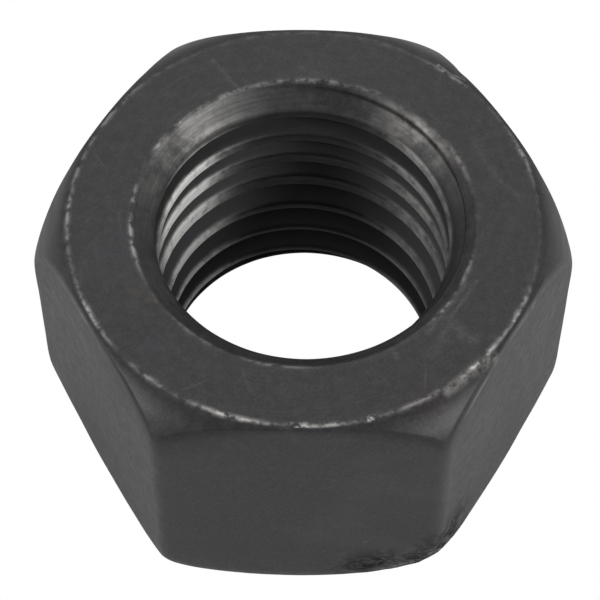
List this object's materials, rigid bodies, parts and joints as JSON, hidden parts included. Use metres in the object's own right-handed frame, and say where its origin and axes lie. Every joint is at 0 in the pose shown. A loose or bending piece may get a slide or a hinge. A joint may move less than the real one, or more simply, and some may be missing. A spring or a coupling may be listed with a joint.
{
  "type": "hex nut",
  "caption": "Plain hexagon nut with chamfered corners, a countersink at each end and a coarse right-hand thread, for clamping a bolt or stud.",
  "frame": {"origin": "centre of the lower bearing face, on the thread axis", "axes": "+Z along the thread axis towards the upper bearing face, two flats face +Y and -Y, two corners point along +X and -X"},
  "size_m": [0.0342, 0.0298, 0.0192],
  "materials": {
    "black_steel": "plain steel with a thin black oxide film, worn bright on edges and thread crests"
  },
  "bodies": {
    "root": {"hex_nut": "black_steel"}
  },
  "joints": []
}
